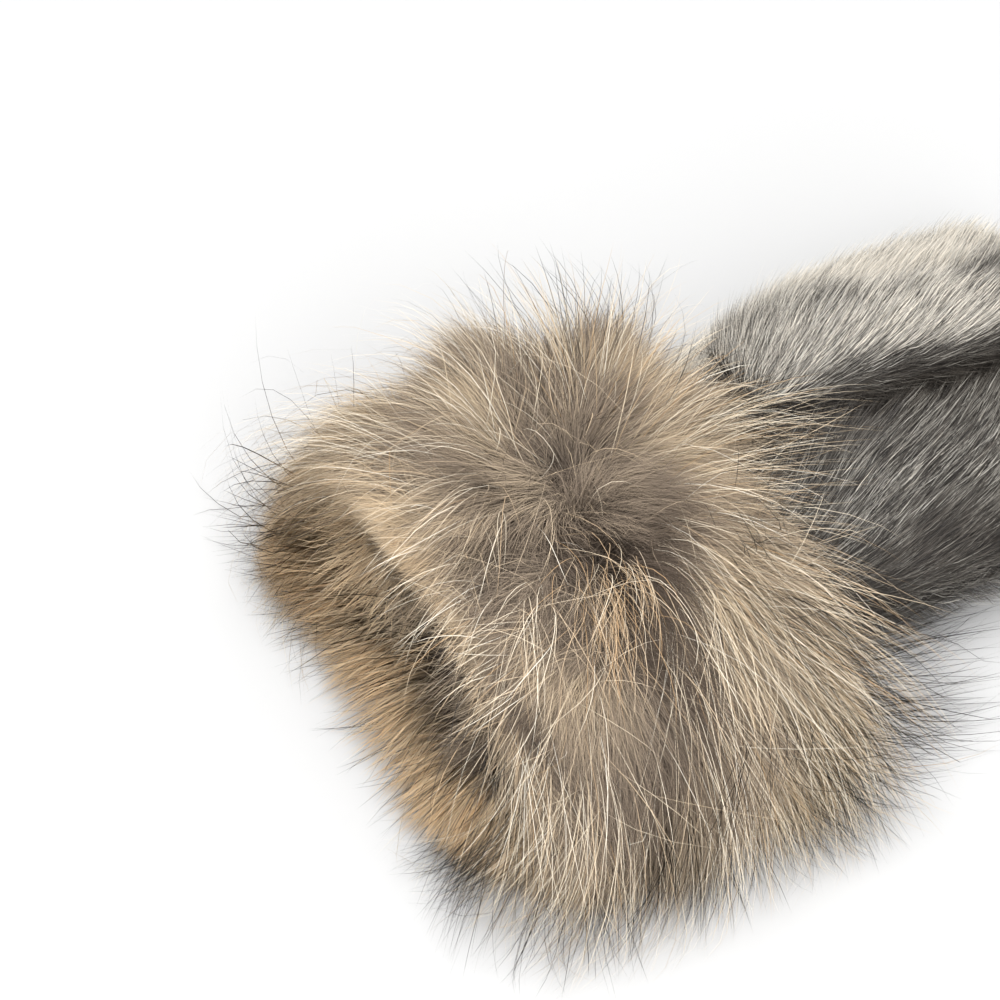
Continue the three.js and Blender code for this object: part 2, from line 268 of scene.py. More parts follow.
# Nearly black at the roots: painted shade of the opening, where the lip's hair sets out.
LIP_SHADED_ALONG = [(0.0, grey(0.07)), (0.32, grey(0.27)), (0.6, grey(0.95)), (1.0, grey(1.0))]
CREAM_TONES = [
    (0.0, linear(176, 142, 100)),
    (0.5, linear(226, 210, 184)),
    (1.0, linear(245, 238, 222)),
]
CREAM_ALONG = [(0.0, grey(0.4)), (0.4, grey(0.85)), (1.0, grey(1.0))]
BLACK_TONES = [(0.0, linear(206, 186, 156)), (1.0, linear(160, 132, 100))]
BLACK_ALONG = [
    (0.0, grey(0.5)),
    (0.35, grey(0.8)),
    (0.5, grey(0.25)),
    (0.62, grey(0.03)),
    (1.0, grey(0.02)),
]
PILE_TONES = [
    (0.0, linear(24, 19, 15)),
    (0.25, linear(78, 72, 65)),
    (0.5, linear(134, 130, 122)),
    (0.75, linear(184, 180, 171)),
    (1.0, linear(222, 213, 198)),
]
PILE_ALONG = [(0.0, grey(0.5)), (0.45, grey(0.95)), (1.0, grey(1.0))]


# Meshes from arrays
def mesh_piece(name, points, faces, across_up, material, normals=None):
    """A shown piece from arrays: its hair map has a pair for each point."""
    mesh = bpy.data.meshes.new(name)
    mesh.from_pydata(points, [], faces)
    layer = mesh.uv_layers.new(name=HAIR_MAP, do_init=False)
    layer.data.foreach_set("uv", across_up[faces.ravel()].astype(np.float32).ravel())
    mesh.shade_smooth()
    if normals is not None:
        mesh.normals_split_custom_set_from_vertices(normals.astype(np.float32))
    mesh.materials.append(material)
    piece = bpy.data.objects.new(name, mesh)
    bpy.context.collection.objects.link(piece)
    return piece


def ribbon_hairs(name, paths, sides, widths, tones, material, shading):
    """Hairs as tapered ribbons. paths is hairs by steps by 3, and the last step is the tip."""
    count, steps, _ = paths.shape
    taper = np.sin(np.linspace(0.28, 1.0, steps) * math.pi) ** 0.6
    half = sides[:, None, :] * (widths[:, None] * taper / 2)[..., None]
    left, right = paths - half, paths + half
    points = np.stack([left[:, :-1], right[:, :-1]], axis=2).reshape(count, -1, 3)
    points = np.concatenate([points, paths[:, -1:]], axis=1)
    each = points.shape[1]
    rungs = np.arange(steps - 2) * 2
    lower = np.stack([rungs, rungs + 3, rungs + 1], axis=1)
    upper = np.stack([rungs, rungs + 2, rungs + 3], axis=1)
    tip = [[each - 3, each - 1, each - 2]]
    pattern = np.concatenate([lower, upper, tip])
    faces = (np.arange(count)[:, None, None] * each + pattern).reshape(-1, 3)
    up = np.repeat(np.linspace(0.02, 0.98, steps), 2)[: each]
    across = np.clip(tones, 0.02, 0.97)[:, None] + np.tile([0.0, TONE_WIDTH], steps)[: each]
    across_up = np.stack([across, np.broadcast_to(up, across.shape)], axis=-1).reshape(-1, 2)
    normals = np.repeat(shading[:, None, :], each, axis=1).reshape(-1, 3)
    return mesh_piece(name, points.reshape(-1, 3), faces, across_up, material, normals)


# The cuff's form
def cuff_point(place, angle, depth):
    """A point round the cuff: place is -1 at the mouth and 1 at the wrist, angle from +Y."""
    share = (place + 1) / 2
    width = lerp(MOUTH_WIDTH, WRIST_WIDTH, share) + 2 * depth
    floor = np.maximum(HOLLOW_FLOOR - depth, 0.001)
    top = HOLLOW_FLOOR + lerp(MOUTH_HEIGHT, WRIST_HEIGHT, share) + depth * TOP_SHARE
    height = top - floor
    up = np.sin(angle)
    fullness = np.where(up > 0, UPPER_FULLNESS, LOWER_FULLNESS)
    half = np.where(up > 0, height * (1 - WIDEST_LEVEL), height * WIDEST_LEVEL)
    y = width / 2 * np.sign(np.cos(angle)) * np.abs(np.cos(angle)) ** fullness
    z = floor + height * WIDEST_LEVEL + half * np.sign(up) * np.abs(up) ** fullness
    x = lerp(MOUTH_X, WRIST_X, share)
    return np.stack(np.broadcast_arrays(x, y, z), axis=-1)


def skin_depth(place):
    return SKIN_EDGE + (SKIN_CORE - SKIN_EDGE) * np.sqrt(np.maximum(1 - place**2, 0))


def skin_point(place, angle):
    return cuff_point(place, angle, skin_depth(place))


def skin_normal(place, angle):
    reach = 1e-3
    inner = np.clip(place, -0.96, 0.96)
    along = skin_point(inner + reach, angle) - skin_point(inner - reach, angle)
    round_it = skin_point(inner, angle + reach) - skin_point(inner, angle - reach)
    return unit(np.cross(round_it, along))


def from_parting(points):
    """The way from the nearest point of the parting."""
    way = PARTING_END - PARTING_START
    share = np.clip((points - PARTING_START) @ way / (way @ way), 0, 1)
    return points - (PARTING_START + share[:, None] * way)


def hollow_share(points):
    """How deep in one of the hollows a root lies, and the way out of it."""
    share = np.zeros(len(points))
    out = np.zeros_like(points)
    for x, y, radius in HOLLOWS:
        offset = points - [x, y, 0]
        offset[:, 2] = 0
        weight = np.exp(-((offset**2).sum(axis=1)) / radius**2)
        share = np.maximum(share, weight)
        out += unit(offset) * weight[:, None]
    return share, out


def flow(points, normals, wander):
    """The way that the hair lies at each root: away from the parting and the hollows."""
    away = from_parting(points)
    near = np.linalg.norm(away, axis=1)[:, None]
    turned = ripple_ways(points, wander, LAY_SEED)
    swirl = ripple_ways(points, wander * 0.35, LAY_SEED + 5)
    settled = smooth_step(0.0, 0.03, near)
    way = unit(away)
    turn = lerp(LAY_TURN_ARM, LAY_TURN_HAND, smooth_step(-0.75, 0.1, way @ HAND_SIDE_WAY))
    across, up = way[:, 0].copy(), way[:, 1].copy()
    way[:, 0] = np.cos(turn) * across - np.sin(turn) * up
    way[:, 1] = np.sin(turn) * across + np.cos(turn) * up
    line = PARTING_END - PARTING_START
    down = smooth_step(0.1, 1.0, (points - PARTING_START) @ line / (line @ line))
    way = unit(way + 1.15 * down[:, None] * NEAR_WAY)
    settled = np.maximum(settled, down[:, None])
    lay = way * settled + 0.42 * turned + lerp(0.5, 0.2, settled) * swirl
    lay += 1.2 * hollow_share(points)[1]
    lay -= (lay * normals).sum(axis=1, keepdims=True) * normals
    return unit(lay)


def plan_size(points):
    """How far out in the plan of the dense fur: 1 is at its edge."""
    low = smooth_step(0.068, 0.03, points[..., 2])
    far = np.clip(points[..., 1] / 0.1, 0, 1)
    x = points[..., 0] - PLAN_MIDDLE_X
    uneven = PLAN_UNEVEN * ripple(points * [1, 1, 0], 0.075, 83)
    arm = lerp(PLAN_ARM_HIGH, PLAN_ARM_LOW, low) + PLAN_FAR_MORE * far + uneven
    reach = np.where(x < 0, arm, PLAN_HAND + PLAN_THUMB_MORE * smooth_step(0.3, 0.8, far))
    along, across = np.abs(x / reach), np.abs(points[..., 1] / PLAN_SIDE)
    return (along**PLAN_POWER + across**PLAN_POWER) ** (1 / PLAN_POWER)


def fit_plan(paths, past):
    """Shortens hairs that run out of the plan by more than past, and gives the share left."""
    root, tip = plan_size(paths[:, 0]), plan_size(paths[:, -1])
    room = np.maximum(1 + past - root, 0.1)
    short = np.clip(room / np.maximum(tip - root, 1e-4), 0.25, 1)
    return paths[:, :1] + (paths - paths[:, :1]) * short[:, None, None], short


def hair_paths(roots, normals, lays, lengths, lean, bend, late, sag, steps):
    """Each hair sets out leaning from the normal, bends on towards its lay, and sags."""
    share = np.linspace(0, 1, steps)
    angle = lean[:, None] + (bend - lean)[:, None] * share**late
    way = np.cos(angle)[..., None] * normals[:, None] + np.sin(angle)[..., None] * lays[:, None]
    stride = lengths[:, None, None] / (steps - 1)
    steps_on = np.cumsum(way[:, 1:] * stride, axis=1)
    path = np.concatenate([np.zeros((len(roots), 1, 3)), steps_on], axis=1)
    path[..., 2] -= (sag * lengths)[:, None] * share**2
    return roots[:, None] + path


def gather(paths, locks, pull, rng):
    """Draws hairs together into locks, each round the hair that leads it."""
    count, steps, _ = paths.shape
    leaders = rng.choice(count, locks, replace=False)
    tree = KDTree(locks)
    for i, leader in enumerate(leaders):
        tree.insert(Vector(paths[leader, 0]), i)
    tree.balance()
    nearest = np.array([tree.find(Vector(root))[1] for root in paths[:, 0]])
    lead = paths[leaders[nearest]]
    share = np.linspace(0, 1, steps)[None, :, None]
    offset = (paths[:, :1] - lead[:, :1]) * (1 - (1 - LOCK_TIP_WIDTH) * share)
    return lerp(paths, lead + offset, pull * share**1.1), nearest


def curl(paths, sides, amount, turns, rng):
    """A slight wave along each hair, more towards its tip."""
    count, steps, _ = paths.shape
    share = np.linspace(0, 1, steps)
    phase = rng.uniform(0, 2 * math.pi, (count, 1))
    wave = np.sin(phase + share * turns[:, None] * 2 * math.pi) - np.sin(phase)
    lift = np.cos(phase + share * turns[:, None] * 2 * math.pi) - np.cos(phase)
    paths = paths + sides[:, None] * (wave * share * amount[:, None])[..., None]
    paths[..., 2] += lift * share * amount[:, None] * 0.6
    return paths


def keep_in(paths, rng):
    """Lays hair that would pass the table on it, and draws in what would reach too far."""
    low = cad_low - PROUD
    high = cad_high + PROUD
    roots = paths[:, :1]
    reach = paths - roots
    most = rng.uniform(0.72, 1.0, len(paths))  # of the room, so that tips don't end in a line
    for axis in range(3):
        room = most * np.maximum(high[axis] - roots[:, 0, axis], 1e-4)
        over = reach[..., axis].max(axis=1) / room
        reach /= np.maximum(over, 1)[:, None, None]
        if axis < 2:
            room = most * np.maximum(roots[:, 0, axis] - low[axis], 1e-4)
            under = (-reach[..., axis]).max(axis=1) / room
            reach /= np.maximum(under, 1)[:, None, None]
    paths = roots + reach
    resting = rng.uniform(0.0008, 0.006, (len(paths), 1))
    paths[..., 2] = np.maximum(paths[..., 2], resting)
    return paths


def cuff_roots(count, low_place, high_place, rng):
    """Roots spread over the cuff's skin, with few under it."""
    place = rng.uniform(low_place, high_place, count * 2)
    angle = rng.uniform(-math.pi, math.pi, count * 2)
    kept = (np.sin(angle) > LOWEST_ROOT) | (place < -0.8)
    place, angle = place[kept][:count], angle[kept][:count]
    return place, skin_point(place, angle), skin_normal(place, angle)


def finish_piece(piece, slot, *nodes):
    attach(piece, "root")
    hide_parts(*nodes)


def cuff_tone(points):
    """Taupe by the parting, beige around it, and tan at the lip and near the table; blotches and
    patches that are partly the fur's colour and partly painted light and shade, and painted shade
    deep in the hollows.
    """
    x, z = points[:, 0], points[:, 2]
    far = np.linalg.norm(from_parting(points), axis=1)
    tone = lerp(0.27, 0.43, smooth_step(0.015, 0.075, far))
    low = smooth_step(0.050, 0.012, z)
    lip = smooth_step(MOUTH_X + 0.012, MOUTH_X - 0.004, x) * smooth_step(0.07, 0.03, z)
    # Blotches of lighter and darker tone, partly the fur's own colour and partly painted shade
    # between its tufts.
    mottle_and_shade = 0.13 * ripple(points, 0.05, 41)
    tone += 0.2 * np.maximum(low, lip) + mottle_and_shade + 0.09 * ripple(points, 0.018, 45)
    # Patches of tone: partly colour, and partly painted shade and painted light.
    for patch_x, patch_y, radius, change in PATCHES:
        apart = (x - patch_x) ** 2 + (points[:, 1] - patch_y) ** 2
        tone += change * np.exp(-apart / radius**2)
    # Painted shade deep in the hollows.
    return tone - 0.14 * hollow_share(points)[0]


@dataclass
class Hair:
    """What the hairs of one layer are like."""

    lengths: tuple  # from the shortest to the longest
    width: float
    steps: int  # places along each hair, its root and its tip among them
    locks: int  # that the layer is drawn together into
    pull: float  # how far each hair is drawn to the one that leads its lock
    stand: tuple  # lean from the skin's normal, at the root and further on, in radians
    late: float = 0.7  # above 1, a hair rises first and bends later
    wander: float = 0.06  # the lay changes over this length
    stray: float = 0.25  # from the lay
    frizz: float = 0.0015  # height of the waves along a hair
    turns: tuple = (0.25, 0.8)  # how many waves
    past: float = 0.0  # how far it may run past the plan of the dense fur, as a share
    spread: float = 0.06  # of tone, from hair to hair
    lift: float = 0.25  # how far its shading turns up to the light


def grow_hair(name, hair, roots, normals, tone, rng, material, lays=None):
    """One layer of the cuff's hair from its roots."""
    count = len(roots)
    if lays is None:
        lays = flow(roots, normals, hair.wander)
    loose = rng.uniform(size=(count, 1)) < LOOSE_SHARE
    lays = unit(lays + hair.stray * np.where(loose, LOOSE_STRAY, 1.0) * rng.normal(size=(count, 3)))
    lays = unit(lays - (lays * normals).sum(axis=1, keepdims=True) * normals)
    sides = unit(np.cross(normals, lays) + 0.3 * rng.normal(size=(count, 3)))

    upward = smooth_step(0.2, 1.0, normals[:, 2])
    brow = smooth_step(0.02, 0.055, roots[:, 1]) * smooth_step(-0.188, -0.208, roots[:, 0])
    length = rng.uniform(*hair.lengths, count) * lerp(1.0, SHORT_ON_TOP, upward)
    length *= 1 - SHORT_IN_HOLLOWS * hollow_share(roots)[0]
    length *= 1 + LONG_AT_SIDES * smooth_step(0.3, 0.8, np.abs(normals[:, 1]))
    length *= 1 + LONG_AT_BROW * brow

    tuft = TUFT_LEAN * ripple(roots, 0.04, 31)
    lean = rng.normal(hair.stand[0], LEAN_SPREAD, count) + 0.22 * upward + tuft
    bend = rng.normal(hair.stand[1], BEND_SPREAD, count) + 0.12 * upward + 0.6 * tuft
    apart = np.linalg.norm(from_parting(roots), axis=1)
    bend = bend * lerp(0.72, 1.0, smooth_step(0.0, 0.028, apart)) + 0.3 * brow
    sag = lerp(SAG_AT_SIDES, SAG_ON_TOP, upward) * rng.uniform(0.6, 1.4, count)

    paths = hair_paths(roots, normals, lays, length, lean, bend, hair.late, sag, hair.steps)
    paths, lock = gather(paths, hair.locks, hair.pull, rng)
    paths, left = fit_plan(paths, rng.uniform(0.4, 1.0, count) * hair.past)
    waves = rng.uniform(0.3, 1.6, count) * hair.frizz * left
    paths = curl(paths, sides, waves, rng.uniform(*hair.turns, count), rng)
    paths = keep_in(paths, rng)

    tones = tone + rng.normal(0, LOCK_TONE_SPREAD, hair.locks)[lock]
    tones = tones + rng.normal(0, hair.spread, count)
    across = rng.uniform(0.6, 1.4, count) * hair.width
    shading = unit(normals + 0.3 * lays + 0.16 * rng.normal(size=(count, 3)) + [0, 0, hair.lift])
    piece = ribbon_hairs(name, paths, sides, across, tones, material, shading)
    finish_piece(piece, "cuff_fur", "fur_cuff")
    return piece


def in_tufts(place, roots, rng):
    """Which roots lie at the cuff's edges, in the black-tipped tufts."""
    outer = (place > 0.5) | (place < -0.8) | (roots[:, 2] < 0.05)
    heading = np.degrees(np.arctan2(roots[:, 1], roots[:, 0] - PLAN_MIDDLE_X))
    off = np.abs((heading[:, None] - BLACK_TUFTS + 180) % 360 - 180).min(axis=1)
    spread = np.abs(rng.normal(0, TUFT_SPREAD, len(roots)))
    return outer & (off < spread + TUFT_STRAY * (rng.uniform(size=len(roots)) < 0.1))


def off_parting(place, roots, rng):
    """Which roots lie off the parting, with fewer over the mouth and on the far side."""
    apart = np.linalg.norm(from_parting(roots), axis=1)
    brow = smooth_step(-0.5, -0.9, place) * smooth_step(0.06, 0.075, roots[:, 2])
    behind = smooth_step(0.08, 0.11, roots[:, 1])
    share = smooth_step(0.004, PARTING_CLEAR, apart) * (1 - 0.75 * brow) * (1 - 0.6 * behind)
    return rng.uniform(size=len(roots)) < share


def in_golden_spot(place, roots, rng):
    """Which roots lie in the golden lock."""
    x, y, radius = GOLDEN_SPOT
    offset = np.hypot(roots[:, 0] - x, roots[:, 1] - y)
    return rng.uniform(size=len(roots)) < np.exp(-((offset / radius) ** 2))


def cuff_hair(name, hair, count, places, seed, material, keep=None, tries=1, tone=None, way=None):
    """A layer over a stretch of the cuff. keep picks its roots, from tries times as many."""
    rng = np.random.default_rng(seed)
    place, roots, normals = cuff_roots(count * tries, *places, rng)
    if keep:
        kept = keep(place, roots, rng)
        roots, normals = roots[kept][:count], normals[kept][:count]
    lays = None if way is None else np.tile(way, (len(roots), 1))
    tone = cuff_tone(roots) if tone is None else tone
    return grow_hair(name, hair, roots, normals, tone, rng, material, lays)


def black_locks(name, hair, each, seed, material):
    """The black-tipped locks that stand out of the cuff's rim."""
    rng = np.random.default_rng(seed)
    _, roots, normals = cuff_roots(40000, *WHOLE_CUFF, rng)
    picked, lays = [], []
    for x, y, way_x, way_y in BLACK_LOCKS:
        apart = np.linalg.norm(roots - [x, y, BLACK_LOCK_LEVEL], axis=1)
        picked.append(np.argsort(apart)[:each])
        lays.append(np.tile([way_x, way_y, 0.0], (each, 1)))
    picked, lays = np.concatenate(picked), np.concatenate(lays)
    return grow_hair(name, hair, roots[picked], normals[picked], 0.3, rng, material, lays)


def lip_hair(name, hair, count, seed, material, tone=None):
    """Hair of the lower lip, which lies on the table in front of the opening."""
    rng = np.random.default_rng(seed)
    angle = rng.uniform(-0.98 * math.pi, -0.02 * math.pi, count)
    depth = rng.uniform(-0.001, SKIN_EDGE, count)
    place = rng.uniform(-1.0, -0.9, count)
    roots = cuff_point(place, angle, depth)
    upward = rng.uniform(0.1, 0.6, count)
    normals = unit(np.stack([np.full(count, -1.0), 0.75 * np.cos(angle), upward], axis=1))
    lays = np.stack([np.full(count, -0.3), 0.4 * np.cos(angle), np.full(count, -0.6)], axis=1)
    lays = unit(lays + 0.4 * rng.normal(size=(count, 3)))
    tones = 0.68 + 0.12 * ripple(roots, 0.04, 43) if tone is None else tone
    return grow_hair(name, hair, roots, normals, tones, rng, material, lays)


def inside_hair(name, hair, count, seed, material):
    """Fur inside the opening, that lies out towards its mouth, with painted shade that darkens it
    on the near side and further in.
    """
    rng = np.random.default_rng(seed)
    place = -1 + 0.7 * rng.uniform(0, 1, count) ** 1.5
    angle = rng.uniform(-math.pi, math.pi, count)
    roots = cuff_point(place, angle, -0.0005)
    normals = -skin_normal(np.full(count, -0.4), angle)
    lays = unit(np.array([-1.0, 0, 0]) + 0.35 * rng.normal(size=(count, 3)))
    # Painted shade of the hollow: darker on the near side and further in.
    tones = lerp(0.24, 0.60, smooth_step(-0.03, 0.05, roots[:, 1]))
    tones = tones - 0.3 * smooth_step(-0.8, -0.4, place)
    return grow_hair(name, hair, roots, normals, tones, rng, material, lays)


def rim_hair(name, hair, count, seed, material):
    """Short fur on the rim of the mouth, all round it."""
    rng = np.random.default_rng(seed)
    angle = rng.uniform(-math.pi, math.pi, count)
    roots = cuff_point(np.full(count, -1.0), angle, rng.uniform(0, SKIN_EDGE, count))
    outward = np.stack([np.zeros(count), np.cos(angle), np.sin(angle)], axis=1)
    normals = unit(outward * rng.uniform(0.0, 0.9, (count, 1)) + [-1, 0, 0])
    lays = unit(outward + 0.4 * rng.normal(size=(count, 3)))
    # The rim's fur is a little darker than the cuff around it: painted shade at the opening.
    return grow_hair(name, hair, roots, normals, cuff_tone(roots) - 0.1, rng, material, lays)


def cuff_skin(material):
    """The felted underfur and the hollow inside it, as one closed tube."""
    rings_out, rings_in, sides = 22, 10, 96
    angles = np.linspace(0, 2 * math.pi, sides, endpoint=False)
    rings = [skin_point(place, angles) for place in -np.cos(np.linspace(0, math.pi, rings_out))]
    rings += [cuff_point(place, angles, 0.0) for place in np.linspace(1, -1, rings_in)]
    points = np.concatenate(rings)
    count = len(rings)
    ring, side = np.meshgrid(np.arange(count), np.arange(sides), indexing="ij")
    after, beside = (ring + 1) % count, (side + 1) % sides
    start, end = ring * sides, after * sides
    corners = [start + side, start + beside, end + beside, end + side]
    faces = np.stack(corners, axis=-1).reshape(-1, 4)
    outside = np.repeat(np.arange(count) < rings_out, sides)
    # Under the hair the skin is darker than the hair, painted shade deep in the fur; the hollow's
    # inner wall is nearly black, painted shade of the hollow.
    tones = np.where(outside, np.clip(cuff_tone(points) - 0.22, 0.03, 0.6), 0.04)
    up = np.where(outside, 0.32, 0.1)
    piece = mesh_piece("cuff_skin", points, faces, np.stack([tones, up], axis=1), material)
    finish_piece(piece, "cuff_fur", "fur_cuff")
    return piece


UNDERFUR = fur_material("Cuff underfur", UNDERFUR_TONES, UNDERFUR_ALONG, 0.8)
# The lip's fur carries painted shade at its roots.
LIP_FUR = fur_material("Lip fur", UNDERFUR_TONES, LIP_SHADED_ALONG, 0.8)
CREAM_HAIR = fur_material("Cream guard hair", CREAM_TONES, CREAM_ALONG, 0.5)
BLACK_HAIR = fur_material("Black-tipped guard hair", BLACK_TONES, BLACK_ALONG, 0.5)
PILE = fur_material("Hand pile", PILE_TONES, PILE_ALONG, 0.5)

cuff_skin(UNDERFUR)

# The cuff's layers of hair
GUARD_TURNS = (0.12, 0.42)  # long hairs bend only slightly

underfur = Hair(
    lengths=(0.034, 0.058), width=0.00018, steps=4, locks=1000, pull=0.3,
    stand=(0.32, 1.15), stray=0.3, frizz=0.002,
)
for row, places in enumerate([(-1.0, -0.3), (-0.35, 0.35), (0.3, 0.98)]):
    cuff_hair(f"underfur_row_{row + 1}", underfur, 32000, places, 100 + row, UNDERFUR)

lip_fur = Hair(
    lengths=(0.016, 0.058), width=0.00028, steps=5, locks=200, pull=0.4,
    stand=(0.1, 0.5), stray=0.4, lift=0.8,
)
lip_hair("lip_fur", lip_fur, 9000, 150, LIP_FUR)

lip_guard = Hair(
    lengths=(0.055, 0.09), width=0.00022, steps=8, locks=40, pull=0.45,
    stand=(0.1, 0.5), stray=0.4, frizz=0.008, turns=GUARD_TURNS, past=0.8, lift=0.8,
)
lip_hair("lip_guard_hair", lip_guard, 300, 151, BLACK_HAIR, tone=0.3)

inside_fur = Hair(
    lengths=(0.014, 0.034), width=0.0003, steps=4, locks=160, pull=0.3, stand=(0.6, 1.3),
)
inside_hair("inside_fur", inside_fur, 4500, 160, UNDERFUR)

rim_fur = Hair(
    lengths=(0.014, 0.028), width=0.00026, steps=4, locks=200, pull=0.3, stand=(0.1, 0.8),
)
rim_hair("rim_fur", rim_fur, 3600, 170, UNDERFUR)

cream_guard = Hair(
    lengths=(0.06, 0.1), width=0.00018, steps=7, locks=500, pull=0.2, stand=(0.35, 1.6),
    late=1.2, wander=0.08, stray=0.32, frizz=0.008, turns=GUARD_TURNS, past=0.24, spread=0.24,
)
cuff_hair("cream_guard_hair", cream_guard, 4600, WHOLE_CUFF, 200, CREAM_HAIR,
          keep=off_parting, tone=0.5)

cream_over_hand = Hair(
    lengths=(0.07, 0.115), width=0.0002, steps=8, locks=80, pull=0.4, stand=(0.5, 1.4),
    wander=0.08, stray=0.22, frizz=0.006, turns=GUARD_TURNS, past=0.8, spread=0.2,
)
cuff_hair("cream_hair_over_hand", cream_over_hand, 1100, (0.3, 0.98), 210, CREAM_HAIR, tone=0.36)

golden = Hair(
    lengths=(0.07, 0.095), width=0.00018, steps=8, locks=14, pull=0.5, stand=(0.2, 1.7),
    late=1.3, stray=0.22, frizz=0.007, turns=GUARD_TURNS, spread=0.18,
)
cuff_hair("golden_lock", golden, 15000, (-0.6, 0.5), 230, CREAM_HAIR,
          keep=in_golden_spot, tone=0.14, way=NEAR_WAY)

black_over_hand = Hair(
    lengths=(0.07, 0.115), width=0.00024, steps=8, locks=30, pull=0.5, stand=(0.6, 1.2),
    wander=0.08, frizz=0.006, turns=GUARD_TURNS, past=0.7,
)
cuff_hair("black_hair_over_hand", black_over_hand, 700, (0.4, 0.98), 220, BLACK_HAIR, tone=0.3)

black_lock = Hair(
    lengths=(0.06, 0.105), width=0.00032, steps=8, locks=12, pull=0.6, stand=(0.8, 1.15),
    stray=0.24, frizz=0.008, turns=GUARD_TURNS, past=0.6,
)
black_locks("black_locks", black_lock, 90, 310, BLACK_HAIR)

dark_guard = Hair(
    lengths=(0.06, 0.1), width=0.00016, steps=7, locks=100, pull=0.2, stand=(0.35, 1.6),
    late=1.2, wander=0.08, stray=0.4, frizz=0.008, turns=GUARD_TURNS, past=0.24,
)
cuff_hair("dark_guard_hair", dark_guard, 420, WHOLE_CUFF, 320, BLACK_HAIR,
          keep=off_parting, tone=0.5)

black_guard = Hair(
    lengths=(0.06, 0.1), width=0.00028, steps=8, locks=50, pull=0.6, stand=(0.4, 1.1),
    wander=0.07, stray=0.4, frizz=0.01, turns=GUARD_TURNS, past=0.45,
)
cuff_hair("black_guard_hair", black_guard, 900, WHOLE_CUFF, 300, BLACK_HAIR,
          keep=in_tufts, tries=8, tone=0.5)


# The hand and the thumb
PILE_REMESH = 0.0028
PILE_INSET = 0.004  # the pile's roots lie this far inside the outline
PILE_LENGTH, PILE_WIDTH = 0.016, 0.00021
PILE_UNEVENNESS = 0.18
PALE_SHARE, PALE_CHANGE = 0.16, 0.3  # of the pile's hairs, and the change of their tone
DARK_SHARE, DARK_CHANGE = 0.24, -0.5  # there are more where the tone turns from pale to dark
LOWEST_BASE, LOWEST_PILE = 0.0002, 0.0003  # height above the table

# Bands of the hand's tone across it, by their place in Y: the pale far side, the stripe and the
# outer edge are its colour, and the band below the thumb is painted shadow.
PALE_FROM, PALE_TO = 0.030, 0.055
THUMB_SHADOW_PLACE, THUMB_SHADOW_WIDTH = 0.002, 0.016
STRIPE_PLACE, STRIPE_WIDTH = -0.060, 0.010
OUTER_FROM, OUTER_TO = -0.064, -0.074

# Lines inside the hollows, which tell their walls from the outside.
HAND_LINE_Y, HAND_LINE_Z = 0.009, 0.032
THUMB_LINE_ROOT_Y, THUMB_LINE_TIP_Y = 0.036, 0.010
THUMB_LINE_LOW, THUMB_LINE_RISE = 0.040, 0.037
CLOSED_TIP = 0.02  # the stretch before the fingertips that is outside all round
RESTING_LEVEL = 0.0025  # below it the underside is pressed flat, and has no pile


def pile_base(node):
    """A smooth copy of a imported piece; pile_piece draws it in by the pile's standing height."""
    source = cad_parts[node]
    base = bpy.data.objects.new(node + "_base", source.data.copy())
    bpy.context.collection.objects.link(base)
    base.matrix_world = source.matrix_world.copy()
    weld = base.modifiers.new("Weld", "WELD")
    weld.merge_threshold = 1e-5
    remesh = base.modifiers.new("Remesh", "REMESH")
    remesh.mode = "VOXEL"
    remesh.voxel_size = PILE_REMESH
    smooth = base.modifiers.new("Smooth", "SMOOTH")
    smooth.factor = 0.6
    smooth.iterations = 10
    graph = bpy.context.evaluated_depsgraph_get()
    mesh = bpy.data.meshes.new_from_object(base.evaluated_get(graph))
    bpy.data.objects.remove(base)
    return mesh


def set_attribute(mesh, name, values):
    values = np.asarray(values, np.float32)
    kind, key = ("FLOAT_VECTOR", "vector") if values.ndim == 2 else ("FLOAT", "value")
    layer = mesh.attributes.new(name, kind, "POINT")
    layer.data.foreach_set(key, values.ravel())


def read_vectors(items, key):
    values = np.empty(len(items) * 3, np.float32)
    items.foreach_get(key, values)
    return values.reshape(-1, 3).astype(float)


def strand_mesh():
    """One short hair of the pile: it sets out along +Z, leans over to +X and is flat across Y."""
    points = [(0, -0.5, 0), (0, 0.5, 0), (0.34, -0.42, 0.36), (0.34, 0.42, 0.36), (0.88, 0, 0.5)]
    mesh = bpy.data.meshes.new("pile_hair")
    mesh.from_pydata(points, [], [(0, 2, 3), (0, 3, 1), (2, 4, 3)])
    set_attribute(mesh, "along", [0.02, 0.02, 0.5, 0.5, 0.98])
    set_attribute(mesh, "beside", [0.0, TONE_WIDTH, 0.0, TONE_WIDTH, TONE_WIDTH / 2])
    hair = bpy.data.objects.new("pile_hair", mesh)
    bpy.context.collection.objects.link(hair)
    hair.hide_render = True
    hair.hide_viewport = True
    return hair


